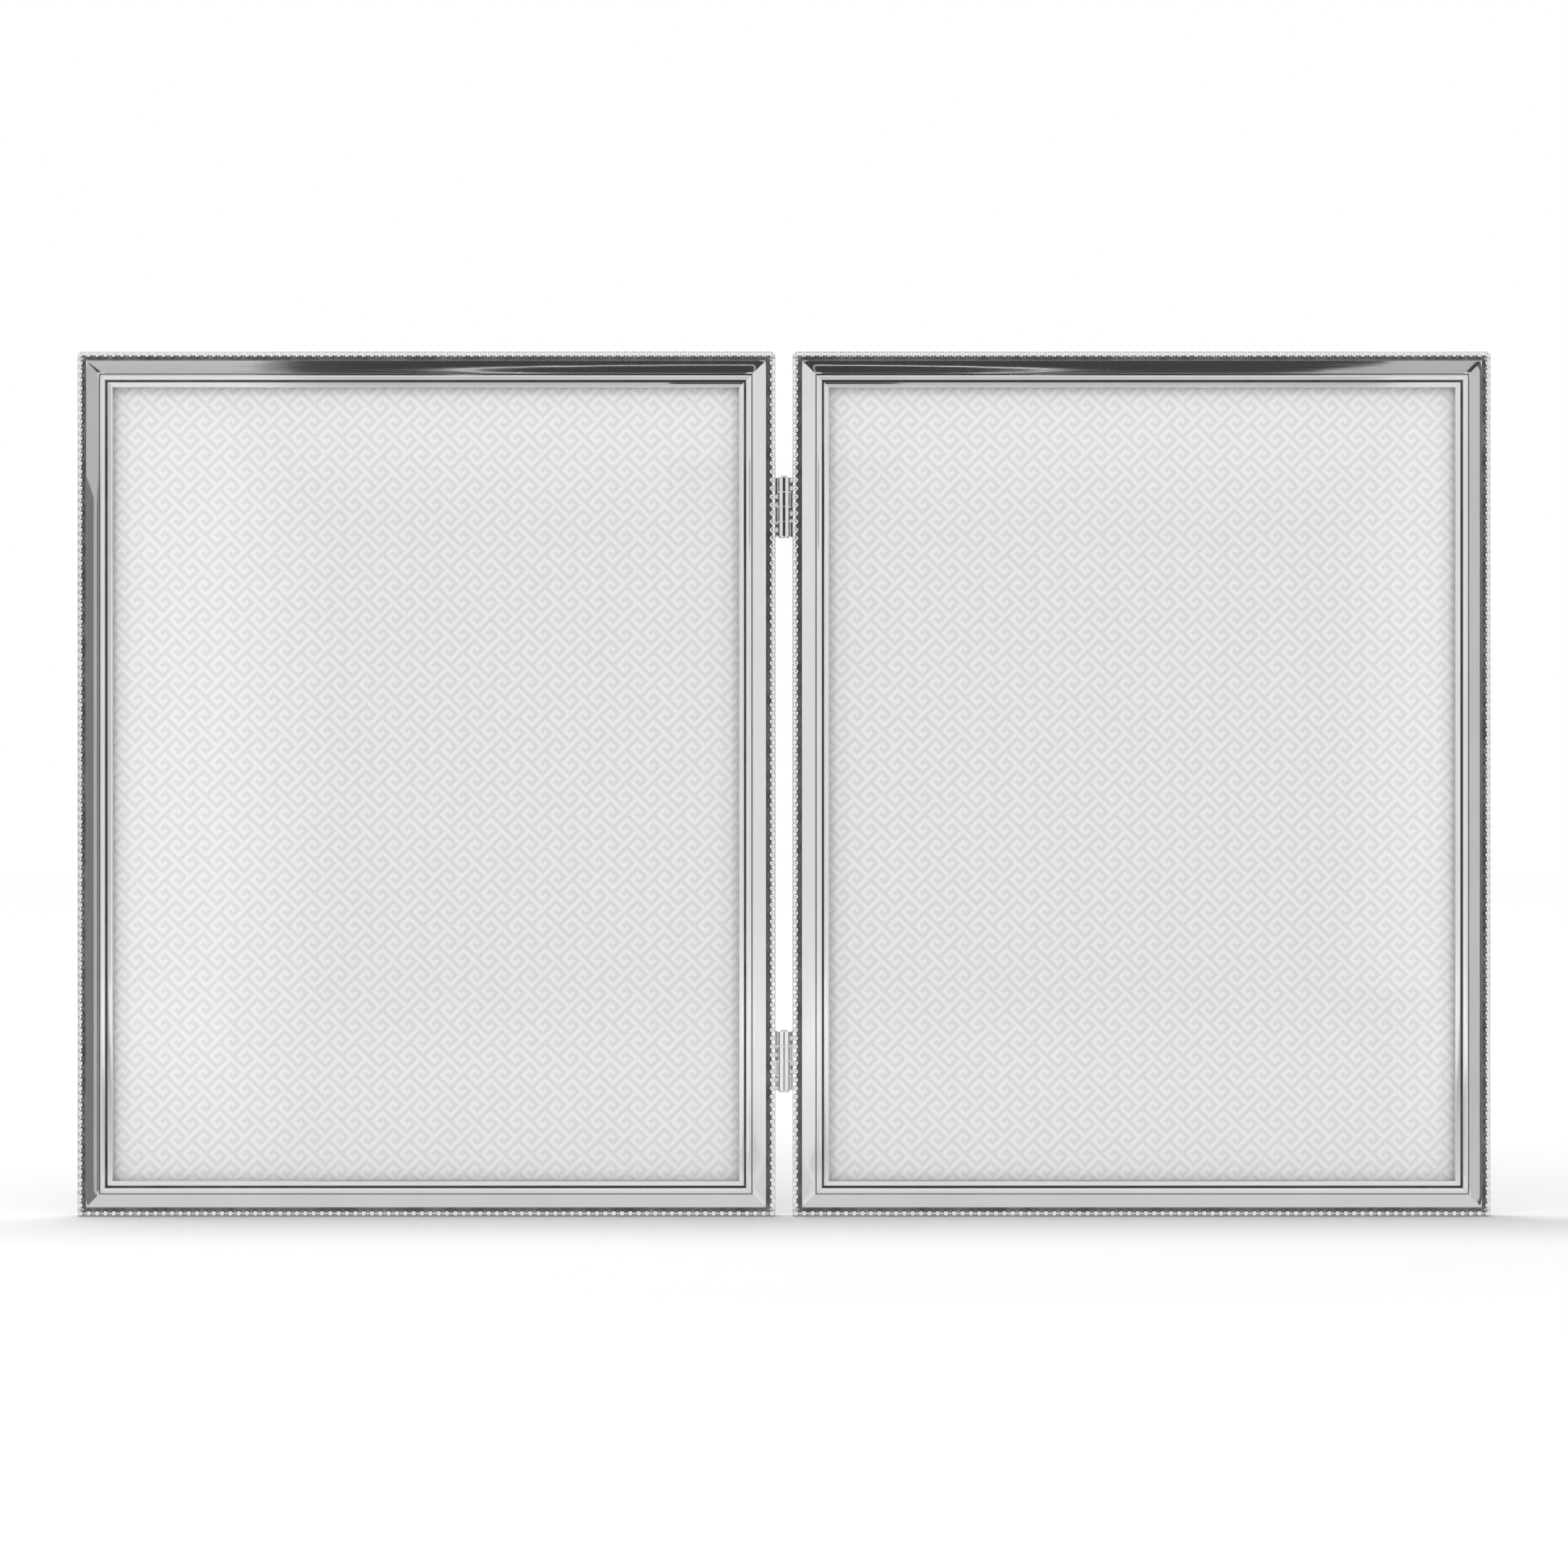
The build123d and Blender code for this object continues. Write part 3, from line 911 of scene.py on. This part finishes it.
stage = {
    "floorSize": 12.0, "floorColour": grey(0.75), "floorGlow": 0.36,
    "glowFrom": 0.25, "glowTo": 1.2,            # how far from the frame the floor turns plain white
    "worldLight": 0.845,                        # what the white surroundings give to matt surfaces
    "cameraDistance": 1.6, "viewWidth": 0.4782, "sensorWidth": 36,
}
softBoxes = {    # place, width, height and power
    "leftBox": ((-0.85, -1.47, 0.6), 0.3, 1.1, 1.7),
    "rightBox": ((0.85, -1.47, 0.6), 0.3, 1.1, 1.6),
    "frontBox": ((0.0, -1.65, 1.25), 2.0, 0.3, 2.6),
    "topBox": ((-0.2, 0.2, 1.4), 0.6, 0.4, 10.0),    # behind the frame, for the shadow at its foot
}


def seenAsWhite(tree):
    # 1 for rays from the camera, mirrors and glass, 0 for the light on matt surfaces
    path = addNode(tree, "ShaderNodeLightPath").outputs
    seen = addNode(tree, "ShaderNodeMath", {0: path["Is Camera Ray"], 1: path["Is Glossy Ray"]},
                   operation="MAXIMUM").outputs[0]
    return addNode(tree, "ShaderNodeMath", {0: seen, 1: path["Is Transmission Ray"]},
                   operation="MAXIMUM").outputs[0]


def setWorld():
    world = bpy.data.worlds.new("studio")
    world.use_nodes = True
    tree = world.node_tree
    strength = mapTo(tree, seenAsWhite(tree), stage["worldLight"], 1.0, 0.0, 1.0)
    sky = tree.nodes["Background"]
    sky.inputs["Color"].default_value = grey(1)
    tree.links.new(strength, sky.inputs["Strength"])
    bpy.context.scene.world = world


def makeFloor():
    clearSelection()
    bpy.ops.mesh.primitive_plane_add(size=stage["floorSize"], location=(0, 0, cadLow.z))
    floor = bpy.context.object
    floor.name = "floor"
    material, tree, shader = newMaterial("paleFloor")
    matt = addNode(tree, "ShaderNodeBsdfDiffuse", {"Color": stage["floorColour"]})
    glow = addNode(tree, "ShaderNodeEmission", {"Color": grey(1)})
    away = addNode(tree, "ShaderNodeVectorMath", {0: objectPlace(tree)}, operation="LENGTH").outputs["Value"]
    further = mapTo(tree, away, 0.0, stage["floorGlow"], stage["glowFrom"], stage["glowTo"])
    strength = addNode(tree, "ShaderNodeMath", {0: further, 1: seenAsWhite(tree)},
                       operation="MULTIPLY").outputs[0]
    tree.links.new(strength, glow.inputs["Strength"])
    surface = addNode(tree, "ShaderNodeAddShader", {0: matt.outputs[0], 1: glow.outputs[0]})
    tree.nodes.remove(shader)
    tree.links.new(surface.outputs[0], tree.nodes["Material Output"].inputs["Surface"])
    floor.data.materials.append(material)


def addSoftBox(name, place, width, height, power):
    lamp = bpy.data.lights.new(name, "AREA")
    lamp.shape = "RECTANGLE"
    lamp.size = width
    lamp.size_y = height
    lamp.energy = power
    holder = bpy.data.objects.new(name, lamp)
    bpy.context.collection.objects.link(holder)
    holder.visible_glossy = False    # the silver mirrors the cards instead
    holder.location = place
    aim = Vector((0, 0, leafHeight / 2)) - Vector(place)
    holder.rotation_euler = aim.to_track_quat("-Z", "Y").to_euler()


# Cards that only the silver and the glass see: the corners of the first edge from left to right,
# then those of the second, the brightness at both edges, and the softness of the left and right ends
# and of the second edge
mirrorCards = {
    "cardBehindCamera": (((-0.36, -1.75, -0.02), (0.42, -1.75, -0.02),
                          (-0.36, -1.75, 0.4), (0.42, -1.75, 0.4)), (0.05, 0.05), (0.1, 0.1, 0.26)),
    "cardOnFloor": (((-0.175, -0.12, 0.002), (0.206, -0.12, 0.002),
                     (-0.36, -1.75, 0.002), (0.42, -1.75, 0.002)), (0.85, 0.05), (0.1, 0.1, 0)),
    "cardByHinge": (((-0.037, -0.087, 0.208), (0.037, -0.087, 0.208),
                     (-0.037, -0.087, 0.236), (0.037, -0.087, 0.236)), (0.05, 0.05), (0, 0, 0)),
    "cardBehindOnFloor": (((0.5, 0.05, 0.002), (-0.5, 0.05, 0.002),
                           (0.7, 1.5, 0.002), (-0.7, 1.5, 0.002)), (0.85, 0.3), (0.2, 0.2, 0.2)),
    "cardAtFoot": (((-0.225, -0.0022, 0.0002), (0.225, -0.0022, 0.0002),
                    (-0.23, -0.1, 0.0002), (0.23, -0.1, 0.0002)), (0.84, 0.9), (0, 0, 0)),
    "cardFarRight": (((0.43, -1.75, -0.02), (0.9, -1.75, -0.02),
                      (0.43, -1.75, 0.7), (0.9, -1.75, 0.7)), (0.72, 0.72), (0, 0.3, 0.2)),
    "cardOverhead": (((-0.229, -0.05, 1.0), (0.283, -0.05, 1.0),
                      (-0.266, -0.8, 1.0), (0.268, -0.8, 1.0)), (0.075, 0.06), (0.02, 0.02, 0.03)),
    "cardAboveLeft": (((-0.6, -0.03, 1.02), (-0.2, -0.03, 1.02),
                       (-0.6, -0.82, 1.02), (-0.2, -0.82, 1.02)), (0.74, 0.66), (0.3, 0, 0)),
    "cardAboveRight": (((0.2, -0.03, 1.02), (0.6, -0.03, 1.02),
                        (0.2, -0.82, 1.02), (0.6, -0.82, 1.02)), (0.66, 0.6), (0, 0.3, 0)),
    "cardLeft": (((-0.26, -0.0345, -0.01), (-0.26, -0.006, -0.01),
                  (-0.26, -0.0345, 0.222), (-0.26, -0.006, 0.23)), (0.25, 0.26), (0, 0, 0)),
    "cardLeftEdge": (((-0.26, -0.058, -0.01), (-0.26, -0.046, -0.01),
                      (-0.26, -0.058, 0.24), (-0.26, -0.046, 0.22)), (0.25, 0.26), (0, 0, 0)),
    "cardLeftBack": (((-0.263, -0.06, -0.01), (-0.263, -0.006, -0.01),
                      (-0.263, -0.06, 0.3), (-0.263, -0.006, 0.3)), (0.62, 0.64), (0, 0, 0.1)),
    "cardRight": (((0.26, -0.006, -0.01), (0.26, -0.017, -0.01),
                   (0.26, -0.006, 0.275), (0.26, -0.017, 0.275)), (0.14, 0.16), (0, 0, 0)),
    "cardRightBack": (((0.263, -0.006, -0.01), (0.263, -0.06, -0.01),
                       (0.263, -0.006, 0.3), (0.263, -0.06, 0.3)), (0.71, 0.73), (0, 0, 0.1)),
}
# a thin bright ring overhead, seen as a fine line in the top rails
lightLine = {"middle": (-0.015, -0.6, 0.99), "halfWidth": 0.143, "halfDepth": 0.25, "thickness": 0.004,
             "brightness": 1.7, "around": 64, "across": 6}


def glowMaterial(card, name, brightness):
    material, tree, shader = newMaterial(name)
    glow = addNode(tree, "ShaderNodeEmission", {"Color": grey(brightness), "Strength": 1.0})
    tree.nodes.remove(shader)
    tree.links.new(glow.outputs[0], tree.nodes["Material Output"].inputs["Surface"])
    card.data.materials.append(material)
    card.visible_camera = card.visible_diffuse = card.visible_shadow = card.visible_transmission = False
    return tree, glow


def makeCard(name, corners, brightness, soft):
    clearSelection()
    bpy.ops.mesh.primitive_plane_add(size=1)
    card = bpy.context.object
    card.name = name
    for vert, corner in zip(card.data.vertices, corners):
        vert.co = corner
    tree, glow = glowMaterial(card, name, 1.0)
    onCard = addNode(tree, "ShaderNodeTexCoord").outputs["UV"]
    split = addNode(tree, "ShaderNodeSeparateXYZ", {0: onCard}).outputs
    tone = mapTo(tree, split["Y"], brightness[0], brightness[1], 0.0, 1.0)
    for across, fromEnd, softness in (("X", 0, soft[0]), ("X", 1, soft[1]), ("Y", 1, soft[2])):
        if softness:
            # fades to the white of the surroundings
            fade = mapTo(tree, split[across], 1.0, 0.0, fromEnd, abs(fromEnd - softness))
            tone = addNode(tree, "ShaderNodeMath", {0: tone, 1: fade}, operation="MAXIMUM").outputs[0]
    tree.links.new(tone, glow.inputs["Color"])


def makeLightLine():
    clearSelection()
    bpy.ops.mesh.primitive_torus_add(
        major_segments=lightLine["around"], minor_segments=lightLine["across"],
        major_radius=lightLine["halfWidth"], minor_radius=lightLine["thickness"],
        location=lightLine["middle"])
    line = bpy.context.object
    line.name = "lightLine"
    line.scale = (1, lightLine["halfDepth"] / lightLine["halfWidth"], 1)
    glowMaterial(line, "lightLine", lightLine["brightness"])


def addCamera():
    camera = bpy.data.cameras.new("camera")
    camera.sensor_width = stage["sensorWidth"]
    camera.lens = camera.sensor_width * stage["cameraDistance"] / stage["viewWidth"]
    holder = bpy.data.objects.new("camera", camera)
    bpy.context.collection.objects.link(holder)
    holder.location = (0, -stage["cameraDistance"], leafHeight / 2)
    holder.rotation_euler = (math.pi / 2, 0, 0)
    bpy.context.scene.camera = holder


setWorld()
makeFloor()
for name, (place, width, height, power) in softBoxes.items():
    addSoftBox(name, place, width, height, power)
for name, (corners, brightness, soft) in mirrorCards.items():
    makeCard(name, corners, brightness, soft)
makeLightLine()
addCamera()
bpy.context.scene.view_settings.view_transform = "Standard"
print("stage set")

clearSelection()
bpy.context.view_layer.update()
